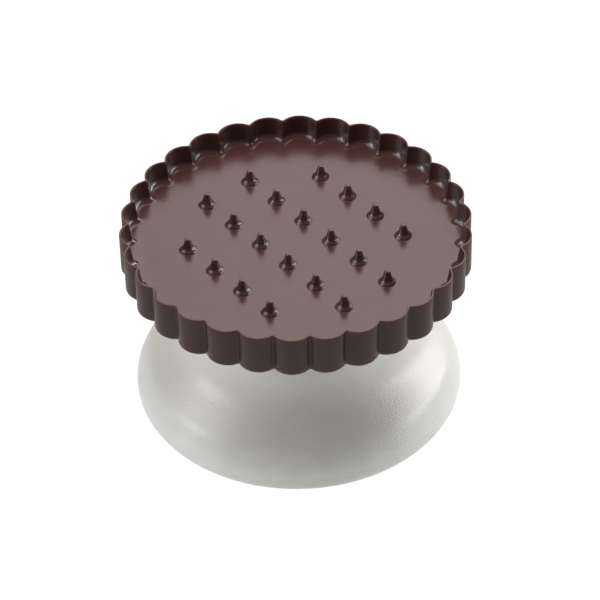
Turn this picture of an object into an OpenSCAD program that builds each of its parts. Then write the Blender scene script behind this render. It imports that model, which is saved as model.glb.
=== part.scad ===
// Fluted biscuit cutter with docking pins and a pull-off knob handle.
// It stands on the palm side of its knob, cutting edge up.
// Millimetres, +Z up. The origin is the centre of the flat that it stands on.
// One row of pins out of two runs along X on each side of the centre.

/* [Cutting rim] */
// Diameter over the crests of the flutes
cutter_d = 65; // [60:0.5:72]
// Number of flutes around the rim
flute_count = 30; // [24:1:36]
// Depth of the grooves between neighbouring flutes
flute_depth = 1.47; // [1:0.01:1.7]
// Thickness of the cutting wall
rim_wall = 0.55; // [0.4:0.05:1]
// Height of the fluted wall
rim_h = 8.5; // [7:0.1:10]
// Depth of the floor below the cutting edge
tray_depth = 4.65; // [4.2:0.05:5]
// Diameter of the shallow recess under the plate
recess_d = 58; // [54:0.5:59]

/* [Docking plate and pins] */
// Thickness of the plate that carries the pins
plate_t = 1.5; // [1:0.1:2]
// Distance between neighbouring pins along a row
pin_pitch = 7.77; // [7:0.01:8.5]
// Distance of the two long rows from the centre line
long_row_y = 5.2; // [4.8:0.05:6]
// Distance of the two short rows from the centre line
short_row_y = 16.15; // [15:0.05:17]
// Pins in a long row
long_row_pins = 6; // [4:1:6]
// Pins in a short row
short_row_pins = 4; // [2:1:4]
// Height of a pin above the plate
pin_h = 2.75; // [2:0.05:3.5]
// Diameter at the tip of a pin
pin_tip_d = 1.1; // [0.8:0.05:1.4]
// Diameter of the pin just above its flared foot
pin_root_d = 1.7; // [1.5:0.05:2.2]
// Diameter of the flared foot
pin_foot_d = 3.2; // [2.8:0.1:3.6]

/* [Spigot and its ring] */
// Diameter of the spigot under the plate
spigot_d = 20; // [18:0.5:22]
// Length of the spigot below the plate
spigot_l = 22; // [18:0.5:24]
// Diameter of the blind core up the middle of the spigot
spigot_core_d = 14; // [10:0.5:14.5]
// Section diameter of the retaining ring
ring_section_d = 2; // [1.6:0.1:2.2]
// Height of the retaining ring above the end of the spigot
ring_lift = 4; // [3:0.5:8]

/* [Knob] */
// Height from the flat it stands on to the cutting edge
total_h = 46.8; // [44:0.1:52]
// Largest diameter of the knob
knob_d = 61.7; // [60:0.1:64]
// Height of the largest diameter
belly_z = 10.25; // [9.5:0.05:10.75]
// Lean of the side just above the belly, from upright
flank_lean = 24; // [20:1:28]
// Height of the soft shoulder at which the side leans in more
shoulder_z = 14.8; // [14:0.1:16]
// Lean of the side above the shoulder, from upright
shoulder_lean = 41; // [36:1:43]
// Radius of the hollow curve between shoulder and neck
neck_curve_r = 11.5; // [9:0.5:12]
// Diameter of the neck under the cutter head
neck_d = 44.6; // [44:0.1:46]
// Thickness of the knob's wall at the neck
knob_wall = 2.4; // [2:0.1:2.6]
// Diameter of the cap that closes the palm side
cap_d = 45; // [44:0.5:46]
// Thickness of the cap
cap_t = 2; // [1.6:0.1:2.6]

/* [Hidden] */

brown = "#4a312e";
frosted = "#dfe1dc";
rubber = "#2b2423";

smooth = 180;       // facets on a large circle
arc_step = 3;       // degrees between points of the knob's profile
pin_arc_step = 18;  // and of a pin's
slide_gap = 0.06;   // radial clearance of the spigot in its socket
seat_gap = 0.2;     // gap between the neck and the plate
touch_gap = 0.05;   // clearance around the cap

// Cutter head
cutter_r = cutter_d / 2;
groove_r = cutter_r - flute_depth;
half_pitch = 180 / flute_count;
flute_r = (pow(groove_r, 2) + pow(cutter_r, 2) - 2 * groove_r * cutter_r * cos(half_pitch))
          / (2 * (cutter_r - groove_r * cos(half_pitch)));
flute_centre_r = cutter_r - flute_r;
floor_z = total_h - tray_depth;
plate_z = floor_z - plate_t;
rim_z = total_h - rim_h;

// Pins
foot_flare = (pin_foot_d - pin_root_d) / 2;
pin_crown = 0.12;

// Spigot and socket
spigot_r = spigot_d / 2;
spigot_z = plate_z - spigot_l;
ring_z = spigot_z + ring_lift;
ring_r = ring_section_d / 2;
ring_centre_r = spigot_r + slide_gap / 2 - ring_r;
groove_floor_r = ring_centre_r - ring_r - 0.02;
groove_h = ring_section_d + 0.2;
spigot_chamfer = 1;
socket_r = spigot_r + slide_gap;
socket_wall = 2;
socket_floor_t = 2;
socket_z = spigot_z - 1;

// Knob outline, all arcs tangent to their neighbours
knob_r = knob_d / 2;
neck_r = neck_d / 2;
neck_top_z = plate_z - seat_gap;
neck_edge_r = 0.8;
belly_low_r = 3.3;      // radius of the outline just below the belly
belly_high_r = 5;       // and just above it
belly_low_a = -45;      // where the low belly curve meets the underside
under_r = 60;           // radius of the nearly straight underside
under_a = -51;          // where the underside meets the curve to the flat
belly_low_end = [knob_r - belly_low_r + belly_low_r * cos(belly_low_a),
                 belly_z + belly_low_r * sin(belly_low_a)];
under_centre = belly_low_end - under_r * [cos(belly_low_a), sin(belly_low_a)];
under_end = under_centre + under_r * [cos(under_a), sin(under_a)];
heel_r = under_end.y / (1 + sin(under_a));
heel_centre = under_end - heel_r * [cos(under_a), sin(under_a)];
belly_high_end = [knob_r - belly_high_r + belly_high_r * cos(flank_lean),
                  belly_z + belly_high_r * sin(flank_lean)];
shoulder_curve_r = 8;
shoulder_start = [belly_high_end.x - (shoulder_z - belly_high_end.y) * tan(flank_lean), shoulder_z];
shoulder_centre = shoulder_start - shoulder_curve_r * [cos(flank_lean), sin(flank_lean)];
shoulder_end = shoulder_centre + shoulder_curve_r * [cos(shoulder_lean), sin(shoulder_lean)];
slope_end_r = neck_r + neck_curve_r * (1 - cos(shoulder_lean));
slope_end_z = shoulder_end.y + (shoulder_end.x - slope_end_r) / tan(shoulder_lean);
neck_curve_z = slope_end_z + neck_curve_r * sin(shoulder_lean);

// Knob inside
cap_r = cap_d / 2;
cap_seat_z = 3.2;
skirt_r = cap_r - 1.2;
skirt_gap = 0.35;   // the cavity narrows a little over the skirt's height
skirt_t = 1.6;
skirt_h = 4;
cavity_top_r = neck_r - knob_wall;

function arc(centre, r, from, to, step = arc_step) =
    let (steps = max(1, ceil(abs(to - from) / step)))
    [for (i = [0 : steps])
        let (a = from + (to - from) * i / steps)
        centre + r * [cos(a), sin(a)]];

// Half section of the knob's outside, from the standing flat to the neck
function knob_outline() = concat(
    [[0, 0]],
    arc(heel_centre, heel_r, -90, under_a),
    arc(under_centre, under_r, under_a, belly_low_a),
    arc([knob_r - belly_low_r, belly_z], belly_low_r, belly_low_a, 0),
    arc([knob_r - belly_high_r, belly_z], belly_high_r, 0, flank_lean),
    arc(shoulder_centre, shoulder_curve_r, flank_lean, shoulder_lean),
    arc([neck_r + neck_curve_r, neck_curve_z], neck_curve_r, 180 + shoulder_lean, 180),
    arc([neck_r - neck_edge_r, neck_top_z - neck_edge_r], neck_edge_r, 0, 90),
    [[0, neck_top_z]]
);

module fluted_outline(inset) {
    for (i = [0 : flute_count - 1])
        rotate(90 + i * 360 / flute_count)
            translate([flute_centre_r, 0])
                circle(r = flute_r - inset, $fn = 96);
    circle(r = flute_centre_r, $fn = smooth);
}

// Thin cutting wall around the tray, on a thicker ring that the plate rests on
module fluted_rim() {
    color(brown)
        difference() {
            translate([0, 0, rim_z])
                linear_extrude(height = rim_h)
                    fluted_outline(0);
            translate([0, 0, plate_z])
                linear_extrude(height = rim_h)
                    fluted_outline(rim_wall);
            translate([0, 0, rim_z - 1])
                cylinder(d = recess_d, h = rim_h, $fn = smooth);
        }
}

module docking_plate() {
    color(brown)
        translate([0, 0, plate_z])
            linear_extrude(height = plate_t)
                fluted_outline(rim_wall);
}

module pin() {
    rotate_extrude($fn = 32)
        polygon(concat(
            [[0, 0]],
            arc([pin_foot_d / 2, foot_flare], foot_flare, 270, 180, pin_arc_step),
            [[pin_tip_d / 2, pin_h - pin_crown],
             [pin_tip_d / 2 - pin_crown, pin_h],
             [0, pin_h]]
        ));
}

module pin_row(count, y) {
    for (i = [0 : count - 1])
        translate([(i - (count - 1) / 2) * pin_pitch, y, floor_z])
            pin();
}

module docking_pins() {
    color(brown)
        for (side = [-1, 1]) {
            pin_row(long_row_pins, side * long_row_y);
            pin_row(short_row_pins, side * short_row_y);
        }
}

module spigot() {
    color(brown)
        difference() {
            union() {
                translate([0, 0, spigot_z + spigot_chamfer])
                    cylinder(r = spigot_r, h = spigot_l - spigot_chamfer, $fn = smooth);
                translate([0, 0, spigot_z])
                    cylinder(r1 = spigot_r - spigot_chamfer, r2 = spigot_r, h = spigot_chamfer, $fn = smooth);
            }
            translate([0, 0, spigot_z - 1])
                cylinder(d = spigot_core_d, h = spigot_l - 1, $fn = smooth);
            translate([0, 0, ring_z - groove_h / 2])
                difference() {
                    cylinder(r = spigot_r + 1, h = groove_h, $fn = smooth);
                    cylinder(r = groove_floor_r, h = groove_h, $fn = smooth);
                }
        }
}

module retaining_ring() {
    color(rubber)
        translate([0, 0, ring_z])
            rotate_extrude($fn = smooth)
                translate([ring_centre_r, 0])
                    circle(r = ring_r, $fn = 48);
}

module knob_body() {
    rotate_extrude($fn = smooth)
        polygon(knob_outline());
}

// Room inside the knob, around the socket that hangs from the neck
module knob_cavity() {
    difference() {
        union() {
            translate([0, 0, -1])
                cylinder(r = cap_r, h = cap_seat_z + 1, $fn = smooth);
            translate([0, 0, cap_seat_z - 1])
                cylinder(r1 = skirt_r, r2 = cavity_top_r, h = neck_top_z - knob_wall - cap_seat_z + 1,
                         $fn = smooth);
        }
        translate([0, 0, socket_z - socket_floor_t])
            cylinder(r = socket_r + socket_wall, h = neck_top_z - socket_z, $fn = smooth);
    }
}

module knob_shell() {
    color(frosted)
        difference() {
            knob_body();
            knob_cavity();
            translate([0, 0, socket_z])
                cylinder(r = socket_r, h = total_h, $fn = smooth);
        }
}

module palm_cap() {
    color(frosted) {
        intersection() {
            knob_body();
            difference() {
                cylinder(r = cap_r - touch_gap, h = cap_seat_z, $fn = smooth);
                translate([0, 0, cap_t])
                    cylinder(r = skirt_r - skirt_t, h = cap_seat_z, $fn = smooth);
            }
        }
        translate([0, 0, cap_seat_z])
            difference() {
                cylinder(r = skirt_r - skirt_gap, h = skirt_h, $fn = smooth);
                translate([0, 0, -1])
                    cylinder(r = skirt_r - skirt_t, h = skirt_h + 2, $fn = smooth);
            }
    }
}

fluted_rim();
docking_plate();
docking_pins();
spigot();
retaining_ring();
knob_shell();
palm_cap();
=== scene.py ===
# %% [markdown]
# # A docking biscuit cutter
#
# The object is a small hand tool with two visible mouldings. A dark brown cutter head carries a thin
# fluted wall, a shallow tray and twenty short pins that prick the biscuit. It plugs into a frosted white
# knob for the palm, and here the tool stands on that knob with its cutting edge up.
#
# The knob, its cap, the ring and the pins are round, so each is turned from a half section. The head is one
# closed skin that follows a formula for its flutes. Nothing is cut with booleans, so every edge can have
# the small round that a moulding has, and that round is what catches the light.

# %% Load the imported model
import math

import bmesh
import bpy
from mathutils import Matrix, Vector


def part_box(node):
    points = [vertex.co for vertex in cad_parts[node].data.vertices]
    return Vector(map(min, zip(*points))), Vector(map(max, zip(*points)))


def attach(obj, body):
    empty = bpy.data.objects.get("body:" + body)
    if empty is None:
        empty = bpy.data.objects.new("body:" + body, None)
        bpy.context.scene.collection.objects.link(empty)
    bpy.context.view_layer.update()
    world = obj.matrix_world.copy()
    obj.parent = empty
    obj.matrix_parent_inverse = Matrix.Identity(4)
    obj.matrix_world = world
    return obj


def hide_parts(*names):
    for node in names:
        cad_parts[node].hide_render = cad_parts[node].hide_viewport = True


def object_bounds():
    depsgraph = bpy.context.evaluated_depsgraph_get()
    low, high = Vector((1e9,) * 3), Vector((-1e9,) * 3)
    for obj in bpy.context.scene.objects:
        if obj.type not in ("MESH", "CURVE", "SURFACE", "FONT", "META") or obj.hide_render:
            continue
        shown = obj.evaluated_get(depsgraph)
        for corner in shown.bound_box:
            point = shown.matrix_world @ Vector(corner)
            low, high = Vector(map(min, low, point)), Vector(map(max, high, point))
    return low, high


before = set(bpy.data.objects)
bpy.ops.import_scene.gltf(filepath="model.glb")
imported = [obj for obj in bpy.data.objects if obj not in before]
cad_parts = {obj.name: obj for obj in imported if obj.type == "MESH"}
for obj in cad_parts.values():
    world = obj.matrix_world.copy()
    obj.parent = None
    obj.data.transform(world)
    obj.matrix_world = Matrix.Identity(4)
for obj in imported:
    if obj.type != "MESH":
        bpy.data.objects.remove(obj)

cad_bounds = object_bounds()
print("model box", [round(v, 4) for v in cad_bounds[1] - cad_bounds[0]])

# %% [markdown]
# ## Sizes
#
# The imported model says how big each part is, so the sizes that matter are read from its boxes. Small things
# that a box can't tell, such as edge radii, are named where they are first needed, in millimetres.

# %% Read the driving sizes
MM = 0.001
rim_low, rim_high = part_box("fluted_rim")
plate_low, plate_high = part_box("docking_plate")
pins_low, pins_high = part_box("docking_pins")
spigot_low, spigot_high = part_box("spigot")
ring_low, ring_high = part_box("retaining_ring")
shell_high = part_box("knob_shell")[1]
cap_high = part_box("palm_cap")[1]

edge_z = rim_high.z         # the cutting edge
rim_z = rim_low.z           # the lower edge of the fluted wall
floor_z = plate_high.z      # the floor of the tray
plate_z = plate_low.z       # the underside of the plate
crest_r = rim_high.y        # one crest of the flutes lies on the Y axis
print("tray depth", round((edge_z - floor_z) / MM, 2), "mm, crest radius", round(crest_r / MM, 2), "mm")

# %% [markdown]
# ## The camera
#
# A long lens about 0.6 m away looks down on the tray, so the ellipse of the rim shows hardly any
# perspective. The rows of pins run from the upper left to the lower right, and the camera is rolled by about
# a degree. Its three axes are worked out from an azimuth and an elevation, because those two angles are
# easier to read than a rotation matrix, and the axes then become the matrix.

# %% Place the camera
view_azimuth = math.radians(50.11)
view_elevation = math.radians(41.03)
view_roll = math.radians(-1.208)
view_distance = 0.5929
target_right = 0.504 * MM
target_drop = 18.634 * MM

level = Vector((math.cos(view_azimuth), math.sin(view_azimuth), 0))
camera_back = Vector((
    math.sin(view_azimuth) * math.cos(view_elevation),
    -math.cos(view_azimuth) * math.cos(view_elevation),
    math.sin(view_elevation),
))
upright = camera_back.cross(level)
camera_right = level * math.cos(view_roll) + upright * math.sin(view_roll)
camera_up = camera_back.cross(camera_right)
target = Vector((0, 0, edge_z - target_drop)) + level * target_right

camera = bpy.data.objects.new("camera", bpy.data.cameras.new("camera"))
bpy.context.collection.objects.link(camera)
camera.data.lens = 189.64
camera.data.sensor_width = 36
camera.data.clip_start = 0.01
camera.data.clip_end = 50
camera.matrix_world = Matrix.Translation(target + camera_back * view_distance) @ Matrix(
    (camera_right, camera_up, camera_back)
).transposed().to_4x4()
bpy.context.scene.camera = camera
print("camera", [round(v, 3) for v in camera.matrix_world.translation])

# %% [markdown]
# ## Helpers for meshes
#
# A turned part starts as a half section: a list of (radius, height) points. Blender could spin it with the
# Screw modifier, but here each point becomes a ring of vertices and neighbouring rings are joined by faces.
# That way a ring may have its own radius at each angle, so the same helper also makes the fluted head. A
# point on the axis becomes a single vertex.

# %% Arcs, skins and objects
on_axis = 1e-9              # metres: a ring smaller than this is a point on the axis


def arc(centre, radius, start, stop, steps):
    """Points on a circle in the half section, from one angle to another, in degrees."""
    angles = [math.radians(start + (stop - start) * i / steps) for i in range(steps + 1)]
    return [(centre[0] + radius * math.cos(a), centre[1] + radius * math.sin(a)) for a in angles]


def skin(rings, angles, closed=False):
    """A mesh from rings of (radius, height), where radius is one number or a list, one for each angle."""
    mesh = bmesh.new()
    loops = []
    for radius, z in rings:
        if not isinstance(radius, list) and radius < on_axis:
            loops.append([mesh.verts.new((0, 0, z))])
            continue
        radii = radius if isinstance(radius, list) else [radius] * len(angles)
        loops.append([mesh.verts.new((r * math.cos(a), r * math.sin(a), z)) for r, a in zip(radii, angles)])
    if closed:
        loops.append(loops[0])
    for low, high in zip(loops, loops[1:]):
        for i in range(len(angles)):
            j = (i + 1) % len(angles)
            if len(low) == 1:
                mesh.faces.new((low[0], high[j], high[i]))
            elif len(high) == 1:
                mesh.faces.new((low[i], low[j], high[0]))
            else:
                mesh.faces.new((low[i], low[j], high[j], high[i]))
    return mesh


def round_angles(count):
    """Evenly spaced angles for a turned part."""
    return [2 * math.pi * i / count for i in range(count)]


def make_object(name, mesh, sharp_angle=32):
    """Turns a bmesh into a smooth-shaded object, with edges sharper than an angle kept crisp."""
    bmesh.ops.recalc_face_normals(mesh, faces=mesh.faces)
    for edge in mesh.edges:
        if len(edge.link_faces) == 2:
            edge.smooth = edge.calc_face_angle() < math.radians(sharp_angle)
    for face in mesh.faces:
        face.smooth = True
    data = bpy.data.meshes.new(name)
    mesh.to_mesh(data)
    mesh.free()
    piece = bpy.data.objects.new(name, data)
    bpy.context.collection.objects.link(piece)
    print(name, len(data.polygons), "faces")
    return piece


# %% [markdown]
# ## The cutter head
#
# On the real object the wall, the tray and the spigot are one injection moulding. Its plan is a ring of
# thirty flutes: circles whose centres lie on a bigger circle. Thirty cylinders joined by a boolean would give
# that plan, but with knife-sharp grooves and untidy faces. A formula for the distance from the axis to the
# wall at any angle gives clean rings of faces instead. The grooves between flutes get a small round, as a
# milled mould leaves one.
#
# The wall is thinner at the cutting edge than at the tray, because a moulding needs draft to leave its mould
# and an edge has to be thin to cut dough.

# %% The plan of the flutes
flute_count = 30
flute_depth = 1.47 * MM
edge_wall = 0.3 * MM        # thickness of the wall at the cutting edge
wall = 0.6 * MM             # thickness of the wall at the tray
groove_round = 0.35 * MM

half_pitch = math.pi / flute_count
groove_r = crest_r - flute_depth
flute_r = (groove_r ** 2 + crest_r ** 2 - 2 * groove_r * crest_r * math.cos(half_pitch)) / (
    2 * (crest_r - groove_r * math.cos(half_pitch))
)
centre_r = crest_r - flute_r
print("flute radius", round(flute_r / MM, 2), "mm on a circle of", round(centre_r / MM, 2), "mm")


def groove_centre(lobe):
    """Distance from the axis to the centre of the small round between two flutes of radius lobe."""
    return centre_r * math.cos(half_pitch) + math.sqrt(
        (lobe + groove_round) ** 2 - (centre_r * math.sin(half_pitch)) ** 2
    )


def plan_radius(angle, inset):
    """Distance from the axis to the outline, at an angle from a crest, with the flutes shrunk by inset."""
    lobe = flute_r - inset
    far = groove_centre(lobe)
    share = lobe / (lobe + groove_round)
    touch_x = centre_r + (far * math.cos(half_pitch) - centre_r) * share
    touch_y = far * math.sin(half_pitch) * share
    if abs(angle) > math.atan2(touch_y, touch_x):
        left = half_pitch - abs(angle)
        return far * math.cos(left) - math.sqrt(groove_round ** 2 - (far * math.sin(left)) ** 2)
    return centre_r * math.cos(angle) + math.sqrt(lobe ** 2 - (centre_r * math.sin(angle)) ** 2)


# %% [markdown]
# The floor meets the wall in a fillet, as if a small ball had rolled along every pocket. A Bevel modifier
# would have to follow thirty pockets and thirty ridges at once and would fold over itself at the ridges. The
# edge of the fillet on the floor is simply the line that keeps one ball radius from the wall, and that line
# is found by halving an interval until it fits.

# %% The fillet between floor and wall
fillet = 1.3 * MM
halvings = 40


def gap_to_wall(radius, angle):
    """Shortest distance from a point of the tray to the inside of the fluted wall."""
    lobe = flute_r - wall
    far = groove_centre(lobe)
    side = abs(angle)
    x = radius * math.cos(side) - centre_r
    y = radius * math.sin(side)
    groove_x = far * math.cos(half_pitch) - centre_r
    groove_y = far * math.sin(half_pitch)
    if math.atan2(y, x) <= math.atan2(groove_y, groove_x):
        return lobe - math.hypot(x, y)
    return math.hypot(x - groove_x, y - groove_y) - groove_round


def fillet_radius(angle, gap):
    """Distance from the axis at which a point of the tray is gap away from the wall."""
    near, far = centre_r - flute_r, plan_radius(angle, wall)
    for _ in range(halvings):
        middle = (near + far) / 2
        near, far = (middle, far) if gap_to_wall(middle, angle) > gap else (near, middle)
    return near


print("fillet reaches in to", round(fillet_radius(0, fillet) / MM, 2), "mm from the axis at a crest")

# %% [markdown]
# The angles are closer together near each groove, where the wall turns sharply. Even spacing would need four
# times as many faces for the same crisp groove. They are degrees from a crest, up to just short of the
# groove, which half a pitch of 6 degrees closes.

# %% Angles around one flute
half_angles = [0, 0.7, 1.4, 2.1, 2.8, 3.5, 4.2, 4.8, 5.2, 5.5, 5.7, 5.8, 5.87, 5.94]
flute_angles = [-math.radians(a) for a in reversed(half_angles[1:])]
flute_angles += [math.radians(a) for a in half_angles]
flute_angles.append(half_pitch)
first_crest = math.pi / 2
head_angles = [
    first_crest + 2 * math.pi * k / flute_count + a for k in range(flute_count) for a in flute_angles
]
print(len(head_angles), "angles around the head")


def fluted(rule):
    """A ring's radii around the whole head, from a rule for one flute."""
    return [rule(a) for a in flute_angles] * flute_count


# %% [markdown]
# The section of the head is one closed line. This first stretch runs from the blind core of the spigot, down
# and round its end, up past the groove for the ring, and out under the plate to the bottom of the wall. A
# moulding is cored out like this so that its walls are all about equally thick and cool without sinking.

# %% Section of the spigot and the recess under the plate
core_r = 7 * MM             # the hollow core of the spigot
core_roof = 2 * MM          # plastic above the core, below the plate
recess_r = 29 * MM          # the shallow recess under the plate
soft = 0.3 * MM             # a small round on an outer edge
lip = 0.5 * MM              # a larger round, used inside corners too
ring_gap = 0.1 * MM         # room for the ring above and below it
ring_fit = 0.02 * MM        # and behind it, down to the floor of its groove
spigot_r = spigot_high.x
ring_h = ring_high.z - ring_low.z
ring_z = (ring_high.z + ring_low.z) / 2
groove_half = ring_h / 2 + ring_gap
groove_floor_r = ring_high.x - ring_h - ring_fit
core_top = plate_z - core_roof

under_side = [(0, core_top)]
under_side += arc((core_r - lip, core_top - lip), lip, 90, 0, 4)
under_side += arc((core_r + soft, spigot_low.z + soft), soft, 180, 270, 3)
under_side += arc((spigot_r - 2 * lip, spigot_low.z + 2 * lip), 2 * lip, 270, 360, 5)
under_side += [
    (spigot_r, ring_z - groove_half),
    (groove_floor_r, ring_z - groove_half),
    (groove_floor_r, ring_z + groove_half),
    (spigot_r, ring_z + groove_half),
]
under_side += arc((spigot_r + lip, plate_z - lip), lip, 180, 90, 4)
under_side += arc((recess_r - lip, plate_z - lip), lip, 90, 0, 4)
under_side += arc((recess_r + soft, rim_z + soft), soft, 180, 270, 3)
print("spigot", round(2 * spigot_r / MM, 1), "mm across,", round((plate_z - spigot_low.z) / MM, 1), "mm long")

# %% [markdown]
# The second stretch has flutes, so each of its rings gets its radii from a rule. It runs round the bottom
# edge, up the outside, over the thin cutting edge, down the inside, through the fillet and in to the middle
# of the tray. The cutting edge is a tiny quarter round on each side: dead sharp edges never catch the light,
# and real ones always do.

# %% Section of the fluted wall and the tray
bottom_round = 0.9 * MM
bottom_steps = 6
edge_round = 0.09 * MM
edge_steps = ((0, edge_round), (0.3 * edge_round, 0.3 * edge_round), (edge_round, 0))
outside_shares = (0.35, 0.7)
inside_shares = (0.2, 0.6)
fillet_steps = 8
floor_rings = (27, 20, 12, 5)

wall_rings = []
for i in range(bottom_steps + 1):
    turn = math.radians(90 * i / bottom_steps)
    inset = bottom_round * (1 - math.sin(turn))
    height = bottom_round * (1 - math.cos(turn))
    wall_rings.append((fluted(lambda a: plan_radius(a, inset)), rim_z + height))
for share in outside_shares:
    wall_rings.append((fluted(lambda a: plan_radius(a, 0)), rim_z + (edge_z - rim_z) * share))
for inset, drop in edge_steps:
    wall_rings.append((fluted(lambda a: plan_radius(a, inset)), edge_z - drop))
for inset, drop in reversed(edge_steps):
    wall_rings.append((fluted(lambda a: plan_radius(a, edge_wall - inset)), edge_z - drop))
for share in inside_shares:
    taper = edge_wall + (wall - edge_wall) * share
    height = edge_z + (floor_z + fillet - edge_z) * share
    wall_rings.append((fluted(lambda a: plan_radius(a, taper)), height))
for i in range(fillet_steps + 1):
    turn = math.radians(90 * i / fillet_steps)
    gap = fillet * (1 - math.cos(turn))
    height = fillet * (1 - math.sin(turn))
    rule = (lambda a: plan_radius(a, wall)) if i == 0 else (lambda a: fillet_radius(a, gap))
    wall_rings.append((fluted(rule), floor_z + height))
wall_rings += [(r * MM, floor_z) for r in floor_rings] + [(0, floor_z)]

head = make_object("cutter_head", skin(under_side + wall_rings, head_angles))
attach(head, "head")
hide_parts("fluted_rim", "docking_plate", "spigot")

# %% [markdown]
# ## The docking pins
#
# Each pin lets steam out of the biscuit by pricking it. It is a slim cone with a blunt tip on a small domed
# foot, where the mould was drilled and countersunk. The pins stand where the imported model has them, so their
# places are read from the tips of its pins and not typed in a second time: the vertices at the very top are
# grouped, and the middle of each group is a place.

# %% Find the places of the pins
tip_band = 0.01 * MM
same_pin = 2 * MM
tips = {}
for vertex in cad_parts["docking_pins"].data.vertices:
    if vertex.co.z > pins_high.z - tip_band:
        for key in tips:
            if (vertex.co.xy - Vector(key)).length < same_pin:
                tips[key].append(vertex.co.xy.copy())
                break
        else:
            tips[tuple(vertex.co.xy)] = [vertex.co.xy.copy()]
pin_places = sorted(
    (
        round((min(p.x for p in group) + max(p.x for p in group)) / 2, 6),
        round((min(p.y for p in group) + max(p.y for p in group)) / 2, 6),
    )
    for group in tips.values()
)
print(len(pin_places), "pins, the first at", pin_places[0])

# %% [markdown]
# One half section does for all the pins. Its foot flares into the floor of the tray and reaches a little way
# below it, so that no gap shows. The dome of the foot and the tight round at the tip are arcs, because each
# of them gives a small bright glint. Between them a few points make the hollow flank. All the pins end up in
# one mesh, as they are one node.

# %% Turn one pin and repeat it
foot_r = pins_high.x - max(x for x, y in pin_places)
pin_h = pins_high.z - pins_low.z
sunk = 0.05 * MM
foot_fillet = 0.25 * MM
foot_edge = foot_r + 0.15 * MM
dome_r = foot_r - 0.5 * MM
dome_z = 0.06 * MM
dome_round = 0.44 * MM
hollow_flank = [(1.12, 0.6), (0.98, 0.86), (0.9, 1.15)]     # radius and height in millimetres
tip_r = 0.52 * MM
tip_round = 0.2 * MM

pin_section = [(0, -sunk), (foot_edge, -sunk)]
pin_section += arc((foot_edge, foot_fillet), foot_fillet, 270, 205, 4)
pin_section += arc((dome_r, dome_z), dome_round, 25, 62, 5)
pin_section += [(r * MM, z * MM) for r, z in hollow_flank]
pin_section += arc((tip_r - tip_round, pin_h - tip_round), tip_round, 12, 90, 6)
pin_section.append((0, pin_h))

pin_angles = round_angles(32)
pins_mesh = bmesh.new()
for x, y in pin_places:
    one_pin = skin(pin_section, pin_angles)
    bmesh.ops.translate(one_pin, verts=one_pin.verts, vec=(x, y, floor_z))
    copy = bpy.data.meshes.new("pin")
    one_pin.to_mesh(copy)
    one_pin.free()
    pins_mesh.from_mesh(copy)
    bpy.data.meshes.remove(copy)
pins = make_object("docking_pins_moulded", pins_mesh, sharp_angle=50)
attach(pins, "head")
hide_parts("docking_pins")

# %% [markdown]
# ## The retaining ring
#
# A plain rubber ring sits in the groove of the spigot and grips the socket. Its section is a full circle that
# closes on itself, so it has no start or end on the axis as the other sections do. Blender's own torus would
# do as well, but the same skin helper makes one in a line.

# %% Turn the ring
ring_r = ring_h / 2
ring_steps = 24
ring_section = arc((ring_high.x - ring_r, ring_z), ring_r, 0, 360 - 360 / ring_steps, ring_steps - 1)
ring = make_object("grip_ring", skin(ring_section, round_angles(96), closed=True))
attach(ring, "head")
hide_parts("retaining_ring")

# %% [markdown]
# ## The knob
#
# The knob fills the palm of the hand, so it has no edge that could press. Its half section is a chain of arcs
# that run into each other without a corner: the flat it stands on, a curved heel, a nearly straight
# underside, a tight belly, a leaning flank, a soft shoulder, and a hollow curve up to the neck. A smooth
# curve through a few points would be quicker to draw, but highlights on a glossy form show every wobble of
# its outline, and arcs have none.
#
# Each arc starts where the last one ends, with the same direction, so only radii and angles are chosen.

# %% Outline of the knob
belly_r = shell_high.x
belly_z = 10.25 * MM        # height of the widest place
belly_low = 3.3 * MM        # radius of the belly below that
belly_high = 5 * MM         # and above it
low_angle = -45             # where the belly hands over to the underside
under_bend = 60 * MM        # radius of the nearly straight underside
under_angle = -51           # where the underside hands over to the heel
flank_lean = 24             # degrees that the flank leans in
shoulder_z = 14.8 * MM      # height where the shoulder starts
shoulder_bend = 8 * MM
shoulder_lean = 41          # degrees that the slope above the shoulder leans in
neck_r = 22.3 * MM
neck_bend = 11.5 * MM       # radius of the hollow curve below the neck
neck_round = 0.8 * MM       # round at the top edge of the neck
neck_z = shell_high.z


def on_circle(centre, radius, angle):
    """A point on a circle in the half section."""
    return arc(centre, radius, angle, angle, 1)[0]


low_end = on_circle((belly_r - belly_low, belly_z), belly_low, low_angle)
under_centre = on_circle(low_end, -under_bend, low_angle)
under_end = on_circle(under_centre, under_bend, under_angle)
heel = under_end[1] / (1 + math.sin(math.radians(under_angle)))
heel_centre = on_circle(under_end, -heel, under_angle)
high_end = on_circle((belly_r - belly_high, belly_z), belly_high, flank_lean)
shoulder_r = high_end[0] - (shoulder_z - high_end[1]) * math.tan(math.radians(flank_lean))
shoulder_centre = on_circle((shoulder_r, shoulder_z), -shoulder_bend, flank_lean)
shoulder_end = on_circle(shoulder_centre, shoulder_bend, shoulder_lean)
lean = math.radians(shoulder_lean)
slope_end_r = neck_r + neck_bend * (1 - math.cos(lean))
slope_end_z = shoulder_end[1] + (shoulder_end[0] - slope_end_r) / math.tan(lean)
bend_z = slope_end_z + neck_bend * math.sin(lean)

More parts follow.
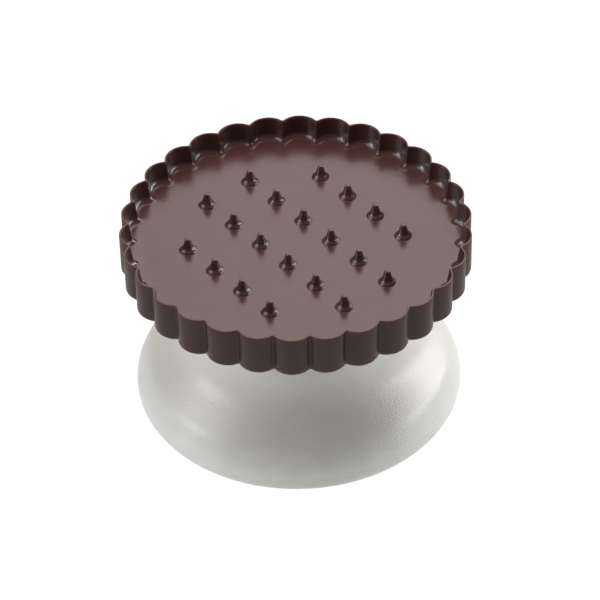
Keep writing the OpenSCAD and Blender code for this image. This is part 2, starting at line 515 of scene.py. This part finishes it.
heel_arc = arc(heel_centre, heel, -90, under_angle, 24)
upper_outline = arc(under_centre, under_bend, under_angle, low_angle, 6)[1:]
upper_outline += arc((belly_r - belly_low, belly_z), belly_low, low_angle, 0, 12)[1:]
upper_outline += arc((belly_r - belly_high, belly_z), belly_high, 0, flank_lean, 8)[1:]
upper_outline += arc(shoulder_centre, shoulder_bend, flank_lean, shoulder_lean, 6)
upper_outline += arc((neck_r + neck_bend, bend_z), neck_bend, 180 + shoulder_lean, 180, 14)
upper_outline += arc((neck_r - neck_round, neck_z - neck_round), neck_round, 0, 90, 5)
print("flat", round(heel_centre[0] * 2 / MM, 1), "mm across")
print("neck curve ends at", round(bend_z / MM, 1), "mm")

# %% [markdown]
# A solid knob of this size would sink and take minutes to cool, so the real one is a hollow shell. A blind
# socket for the spigot hangs from its neck, and it is open at the palm side, where a cap closes it. The seam
# between shell and cap is a real gap with rounded edges, because a line painted on would vanish when the
# light falls across it.

# %% Inside of the knob
cap_r = cap_high.x
seam = 0.05 * MM            # gap between the shell and the cap
seam_round = 0.12 * MM      # round on both edges of the seam
cap_seat_z = 3.2 * MM       # height of the step that the cap rests against
skirt_r = 21.3 * MM         # inside of the shell above that step
knob_wall = 2.4 * MM
socket_gap = 0.06 * MM      # clearance all round the spigot
socket_spare = 1 * MM       # room below the end of the spigot
socket_wall = 2 * MM
socket_chamfer = 0.5 * MM   # leads the spigot in
socket_r = spigot_r + socket_gap
socket_z = spigot_low.z - socket_spare


def heel_height(radius):
    """Height of the outside of the knob's heel at a distance from the axis."""
    return heel_centre[1] - math.sqrt(heel ** 2 - (radius - heel_centre[0]) ** 2)


inside = [(socket_r + socket_chamfer, neck_z), (socket_r, neck_z - socket_chamfer)]
inside += [(socket_r, socket_z + lip), (socket_r - lip, socket_z), (0, socket_z)]
cavity = [(0, socket_z - socket_wall)]
cavity += arc((socket_r + socket_wall - lip, socket_z - socket_wall + lip), lip, 270, 360, 4)
cavity += arc((socket_r + socket_wall + lip, neck_z - knob_wall - lip), lip, 180, 90, 4)
cavity += arc((neck_r - knob_wall - lip, neck_z - knob_wall - lip), lip, 90, 0, 4)
cavity += [(skirt_r, cap_seat_z), (cap_r + seam, cap_seat_z)]
cavity += [(cap_r + seam, heel_height(cap_r + seam) + seam_round)]
shell_heel = [p for p in heel_arc if p[0] > cap_r + seam + seam_round]
shell_heel.insert(0, (cap_r + seam + seam_round, heel_height(cap_r + seam + seam_round)))
shell_section = inside[::-1] + upper_outline[::-1] + shell_heel[::-1] + cavity[::-1]

knob_angles = round_angles(256)
shell = make_object("knob_moulded", skin(shell_section, knob_angles))
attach(shell, "handle")
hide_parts("knob_shell")

# %% [markdown]
# ## The palm cap
#
# A shallow dish snaps into the open side of the knob. Its outside carries on the knob's curve, so it is made
# from the same heel arc, and only a fine seam shows around it. A small dimple in the middle is where the
# moulding was fed with plastic. The skirt inside is what the real one would snap in by.

# %% Turn the cap
cap_t = 2 * MM                      # thickness of the dish
gate_edge = 1.5 * MM                # radius of the dimple
gate_slope = 0.25 * MM              # width of its sloping edge
gate_depth = 0.25 * MM
skirt_out = skirt_r - 0.35 * MM     # outside of the skirt, clear of the shell
skirt_in = skirt_r - 1.6 * MM       # inside of the skirt

cap_section = [(0, gate_depth), (gate_edge, gate_depth), (gate_edge + gate_slope, 0)]
cap_section += [p for p in heel_arc if p[0] < cap_r - seam_round]
cap_section += [(cap_r - seam_round, heel_height(cap_r - seam_round))]
cap_section += [(cap_r, heel_height(cap_r) + seam_round), (cap_r, cap_seat_z)]
cap_section += [(skirt_out, cap_seat_z), (skirt_out, cap_high.z - soft), (skirt_out - soft, cap_high.z)]
cap_section += [(skirt_in, cap_high.z), (skirt_in, cap_t + lip), (skirt_in - lip, cap_t), (0, cap_t)]
cap = make_object("palm_cap_moulded", skin(cap_section, knob_angles))
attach(cap, "handle")
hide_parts("palm_cap")

# %% [markdown]
# ## Helpers for materials
#
# Colours are written as the sRGB hex values that a designer would pick, and one function turns them to the
# linear light that the renderer works in. Another small function adds a node with its settings and links, so
# that a material below reads as a list of what it is made of. Patterns use object coordinates, which here are
# metres, so a scale of 1 / (9 * MM) means one blotch about every 9 mm.

# %% Colours and nodes
def linear(hex_colour):
    """An sRGB hex colour as linear RGBA."""
    channels = [int(hex_colour[i : i + 2], 16) / 255 for i in (1, 3, 5)]
    return [c / 12.92 if c <= 0.04045 else ((c + 0.055) / 1.055) ** 2.4 for c in channels] + [1.0]


def add(tree, kind, settings=None, inputs=None):
    """Adds a node. Settings are its own properties, and inputs are values or sockets for its inputs."""
    node = tree.nodes.new(kind)
    for name, value in (settings or {}).items():
        setattr(node, name, value)
    for name, value in (inputs or {}).items():
        if isinstance(value, bpy.types.NodeSocket):
            tree.links.new(value, node.inputs[name])
        else:
            node.inputs[name].default_value = value
    return node


def new_material(name):
    """An empty node material with object coordinates in metres."""
    material = bpy.data.materials.new(name)
    material.use_nodes = True
    tree = material.node_tree
    tree.nodes.clear()
    place = add(tree, "ShaderNodeTexCoord").outputs["Object"]
    return material, tree, place


# %% [markdown]
# ## Brown ABS from a polished mould
#
# The head is ABS, the tough opaque plastic of many kitchen tools, moulded against polished steel. That gives
# the eye a nearly black brown that shines: most of what shows on the tray is the light behind it, mirrored.
# A flat colour with a low roughness would look like paint, so two small faults of a real moulding and a
# painted highlight are added:
#
# - Sink. Plastic shrinks more where it is thick, so the surface sways over about 9 mm. The colour and the
#   polish follow the same slow pattern.
# - Peel. A faint texture of about 0.1 mm, drawn at 0.5 mm so that it shows in the render.
# - Edge highlight. The last 0.3 mm of the cutting edge is painted lighter and redder: a painted highlight.
#
# The IOR of 1.54 is typical for ABS, and the roughness of 0.22 to 0.3 is a polished mould after some use.

# %% Polished brown ABS
sink_size = 9 * MM
sink_depth = 0.25 * MM
peel_size = 0.5 * MM
peel_depth = 0.05 * MM
# Painted highlight: the top 0.3 mm of the cutting edge is mixed towards a lighter, redder brown, where it
# catches the light.
edge_highlight_from = edge_z - 0.3 * MM
edge_highlight_to = edge_z - 0.05 * MM

brown_abs, tree, place = new_material("brown_abs_polished_mould")
flow = add(tree, "ShaderNodeTexNoise", inputs={"Vector": place, "Scale": 1 / sink_size, "Detail": 3.0})
tint = add(
    tree, "ShaderNodeMix", {"data_type": "RGBA"},
    {"Factor": flow.outputs["Fac"], "A": linear("#2D1A18"), "B": linear("#341F1C")},
)
grain = add(tree, "ShaderNodeTexNoise", inputs={"Vector": place, "Scale": 1 / peel_size, "Detail": 2.0})
height = add(tree, "ShaderNodeSeparateXYZ", inputs={"Vector": place}).outputs["Z"]
edge_highlight_mask = add(
    tree, "ShaderNodeMapRange", {"data_type": "FLOAT"},
    {"Value": height, "From Min": edge_highlight_from, "From Max": edge_highlight_to, "To Max": 0.35},
)
edge_highlighted = add(
    tree, "ShaderNodeMix", {"data_type": "RGBA"},
    {"Factor": edge_highlight_mask.outputs["Result"], "A": tint.outputs["Result"], "B": linear("#4A2822")},
)
gloss = add(
    tree, "ShaderNodeMapRange", {"data_type": "FLOAT"},
    {"Value": flow.outputs["Fac"], "To Min": 0.22, "To Max": 0.3},
)
sink = add(
    tree, "ShaderNodeBump",
    inputs={"Strength": 0.5, "Distance": sink_depth, "Height": flow.outputs["Fac"]},
)
peel = add(
    tree, "ShaderNodeBump",
    inputs={
        "Strength": 0.03, "Distance": peel_depth, "Height": grain.outputs["Fac"],
        "Normal": sink.outputs["Normal"],
    },
)
shader = add(
    tree, "ShaderNodeBsdfPrincipled",
    inputs={
        "Base Color": edge_highlighted.outputs["Result"], "Roughness": gloss.outputs["Result"],
        "Normal": peel.outputs["Normal"], "IOR": 1.54,
    },
)
add(tree, "ShaderNodeOutputMaterial", inputs={"Surface": shader.outputs["BSDF"]})
print(brown_abs.name, len(tree.nodes), "nodes")

# %% [markdown]
# ## Polypropylene from a blasted mould
#
# The knob is natural polypropylene, IOR 1.49, from a mould blasted with fine grit. The eye gets two things
# from that. The plastic is milky: light wanders a few millimetres inside it, which softens every shadow, so
# it has subsurface scattering with a radius of about 4 mm. And its skin is satin: the highlights spread wide
# and break up into a fine sparkle. Grit leaves pits of about 0.1 mm, drawn at 0.36 mm so that they show.
#
# Translucent shading with refraction would be closer to the physics, but it needs far more samples and looks
# much the same in a wall more than 2 mm thick. Half way up, a faint warm shade is painted on by height: it
# stands for the brown light and the shade that the head above throws on the knob.

# %% Frosted polypropylene
cloud_size = 12 * MM
grit_size = 0.36 * MM
grit_depth = 0.075 * MM
# Painted shade: a faint warm band half way up the knob, for the head's brown reflected light and its shade.
shade_low = (12 * MM, 19 * MM)      # the warm shade fades in over these heights
shade_high = (30 * MM, 22 * MM)     # and is gone again at the first of these

frosted_pp, tree, place = new_material("frosted_polypropylene_blasted_mould")
cloud = add(tree, "ShaderNodeTexNoise", inputs={"Vector": place, "Scale": 1 / cloud_size, "Detail": 2.0})
milk = add(
    tree, "ShaderNodeMix", {"data_type": "RGBA"},
    {"Factor": cloud.outputs["Fac"], "A": linear("#B5B4AE"), "B": linear("#BEBDB8")},
)
up = add(tree, "ShaderNodeSeparateXYZ", inputs={"Vector": place}).outputs["Z"]
above = add(
    tree, "ShaderNodeMapRange", {"data_type": "FLOAT", "interpolation_type": "SMOOTHSTEP"},
    {"Value": up, "From Min": shade_low[0], "From Max": shade_low[1]},
)
below = add(
    tree, "ShaderNodeMapRange", {"data_type": "FLOAT", "interpolation_type": "SMOOTHSTEP"},
    {"Value": up, "From Min": shade_high[0], "From Max": shade_high[1]},
)
glow = add(
    tree, "ShaderNodeMath", {"operation": "MULTIPLY"},
    {0: above.outputs["Result"], 1: below.outputs["Result"]},
)
painted_shade_tint = add(
    tree, "ShaderNodeMix", {"data_type": "RGBA", "blend_type": "MULTIPLY"},
    {"Factor": glow.outputs["Value"], "A": milk.outputs["Result"], "B": linear("#FFF9F3")},
)
blast = add(tree, "ShaderNodeTexNoise", inputs={"Vector": place, "Scale": 1 / grit_size, "Detail": 1.0})
satin = add(
    tree, "ShaderNodeMapRange", {"data_type": "FLOAT"},
    {"Value": cloud.outputs["Fac"], "To Min": 0.33, "To Max": 0.38},
)
frost = add(
    tree, "ShaderNodeBump",
    inputs={"Strength": 0.8, "Distance": grit_depth, "Height": blast.outputs["Fac"]},
)
shader = add(
    tree, "ShaderNodeBsdfPrincipled",
    inputs={
        "Base Color": painted_shade_tint.outputs["Result"], "Roughness": satin.outputs["Result"],
        "Normal": frost.outputs["Normal"], "IOR": 1.49,
        "Subsurface Weight": 0.7, "Subsurface Radius": (1.0, 0.9, 0.8), "Subsurface Scale": 4 * MM,
    },
)
add(tree, "ShaderNodeOutputMaterial", inputs={"Surface": shader.outputs["BSDF"]})
print(frosted_pp.name, len(tree.nodes), "nodes")

# %% [markdown]
# ## Moulded nitrile rubber
#
# The ring is black nitrile rubber, IOR 1.52, from a smooth mould. Rubber looks dull because oils and wax
# bloom to its surface in patches, here about 3 mm wide, so both its grey and its roughness vary with them. It
# stands against brown plastic that shines, and that contrast is what tells the two apart.

# %% Black nitrile rubber
bloom_size = 3 * MM

nitrile, tree, place = new_material("nitrile_rubber_moulded")
bloom = add(tree, "ShaderNodeTexNoise", inputs={"Vector": place, "Scale": 1 / bloom_size, "Detail": 3.0})
tone = add(
    tree, "ShaderNodeMix", {"data_type": "RGBA"},
    {"Factor": bloom.outputs["Fac"], "A": linear("#1E1B1B"), "B": linear("#2A2625")},
)
dull = add(
    tree, "ShaderNodeMapRange", {"data_type": "FLOAT"},
    {"Value": bloom.outputs["Fac"], "To Min": 0.5, "To Max": 0.65},
)
shader = add(
    tree, "ShaderNodeBsdfPrincipled",
    inputs={"Base Color": tone.outputs["Result"], "Roughness": dull.outputs["Result"], "IOR": 1.52},
)
add(tree, "ShaderNodeOutputMaterial", inputs={"Surface": shader.outputs["BSDF"]})
print(nitrile.name, len(tree.nodes), "nodes")

# %% [markdown]
# ## Dressing the pieces
#
# A mesh shows the material in its first slot. The pins share the head's brown, as they are one moulding with
# it, and the cap shares the knob's plastic.

# %% Put the materials on
for piece, material in (
    (head, brown_abs), (pins, brown_abs), (ring, nitrile), (shell, frosted_pp), (cap, frosted_pp),
):
    piece.data.materials.clear()
    piece.data.materials.append(material)
    print(piece.name, "is", material.name)

# %% [markdown]
# ## Floor
#
# The tool stands on plain white paper with hardly a shadow, as in a catalogue. White paper under strong light
# would need lights so bright that they burn out the knob, so this paper is grey and glows by itself. The
# glow also lights the knob's underside evenly, as bright paper does. Seen in the shiny plastic such a sheet
# would be one hard white shape, so it is left out of reflections, and the soft room below takes its place.

# %% Make the floor
floor_half = 3              # metres from the middle to each side
floor_gap = 0.1 * MM
fibre_size = 50 / 3 * MM

floor_mesh = bmesh.new()
bmesh.ops.create_grid(floor_mesh, x_segments=1, y_segments=1, size=floor_half)
floor = make_object("floor", floor_mesh)
floor.location.z = cad_bounds[0].z - floor_gap
floor.visible_glossy = False

paper, tree, place = new_material("pale_paper_sweep")
fibre = add(tree, "ShaderNodeTexNoise", inputs={"Vector": place, "Scale": 1 / fibre_size, "Detail": 3.0})
pale = add(
    tree, "ShaderNodeMix", {"data_type": "RGBA"},
    {"Factor": fibre.outputs["Fac"], "A": linear("#404040"), "B": linear("#444444")},
)
shader = add(
    tree, "ShaderNodeBsdfPrincipled",
    inputs={
        "Base Color": pale.outputs["Result"], "Roughness": 0.9, "Specular IOR Level": 0.0,
        "Emission Color": (1, 1, 1, 1), "Emission Strength": 0.97,
    },
)
add(tree, "ShaderNodeOutputMaterial", inputs={"Surface": shader.outputs["BSDF"]})
floor.data.materials.append(paper)

# %% [markdown]
# ## Light
#
# The room is a dim white sphere around everything. It is brighter below the horizon than above it, so the
# outside of the wall mirrors a pale table and the inside mirrors a darker room. A panorama of a real studio
# would do this too, but a blend by height has nothing to load and only two numbers to tune.

# %% Make the room
table_light = 0.5
room_light = 0.1
horizon = 0.1

world = bpy.data.worlds.new("studio")
world.use_nodes = True
tree = world.node_tree
tree.nodes.clear()
direction = add(tree, "ShaderNodeTexCoord").outputs["Generated"]
rise = add(tree, "ShaderNodeSeparateXYZ", inputs={"Vector": direction}).outputs["Z"]
room = add(
    tree, "ShaderNodeMapRange", {"data_type": "FLOAT"},
    {
        "Value": rise, "From Min": -horizon, "From Max": horizon,
        "To Min": table_light, "To Max": room_light,
    },
)
sky = add(
    tree, "ShaderNodeBackground", inputs={"Color": (1, 1, 1, 1), "Strength": room.outputs["Result"]}
)
add(tree, "ShaderNodeOutputWorld", inputs={"Surface": sky.outputs["Background"]})
bpy.context.scene.world = world
print("room light", room_light, "above the horizon and", table_light, "below it")


# %% [markdown]
# Each light is a softbox: a glowing rectangle turned towards the object. A large or a near one makes soft
# shadows and wide highlights. They are placed by the angle from the camera and the height above the table,
# which is how lights are spoken of in a studio.

# %% Helper for softboxes
def softbox(name, side, elevation, distance, width, height, power, colour="#FFFFFF"):
    """A rectangular light aimed at the object. Side is the angle from the camera, to the right in degrees."""
    data = bpy.data.lights.new(name, "AREA")
    data.shape = "RECTANGLE"
    data.size, data.size_y = width, height
    data.energy = power
    data.color = linear(colour)[:3]
    light = bpy.data.objects.new(name, data)
    bpy.context.collection.objects.link(light)
    around = view_azimuth + math.radians(side)
    tilt = math.radians(elevation)
    away = Vector((math.sin(around) * math.cos(tilt), -math.cos(around) * math.cos(tilt), math.sin(tilt)))
    centre = Vector((0, 0, edge_z / 2))
    light.location = centre + away * distance
    light.rotation_mode = "QUATERNION"
    light.rotation_quaternion = away.to_track_quat("Z", "Y")
    print(name, power, "W at", [round(v, 2) for v in light.location])
    return light


# %% [markdown]
# Each light has one job:
#
# - The long one on the right, a little behind the tool, draws the broad bright crescent on the knob.
# - The small one on the left puts a spot of light on the knob's left flank.
# - The large one above it fills that side softly.
# - The one behind is what the tray mirrors, so it decides how light the brown tray looks.
# - The small one overhead brings out the brown itself. Its mirror image would show as hard streaks in the
#   fillets around the tray, so it is left out of reflections.

# %% Place the lights
cool = "#F2F7FF"
warm = "#FFF1EF"
softbox("right_softbox", 110, 10, 1.2, 1.8, 0.3, 26, cool)
softbox("left_softbox", -76, 9, 1.2, 0.3, 0.3, 6, cool)
softbox("left_fill", -80, 32, 1.4, 1.2, 0.8, 11, cool)
softbox("back_softbox", 158, 48, 1.4, 1.35, 1.1, 12.3, warm)
softbox("top_softbox", 0, 89, 1.6, 0.3, 0.3, 44).visible_glossy = False

bpy.context.scene.view_settings.view_transform = "Standard"
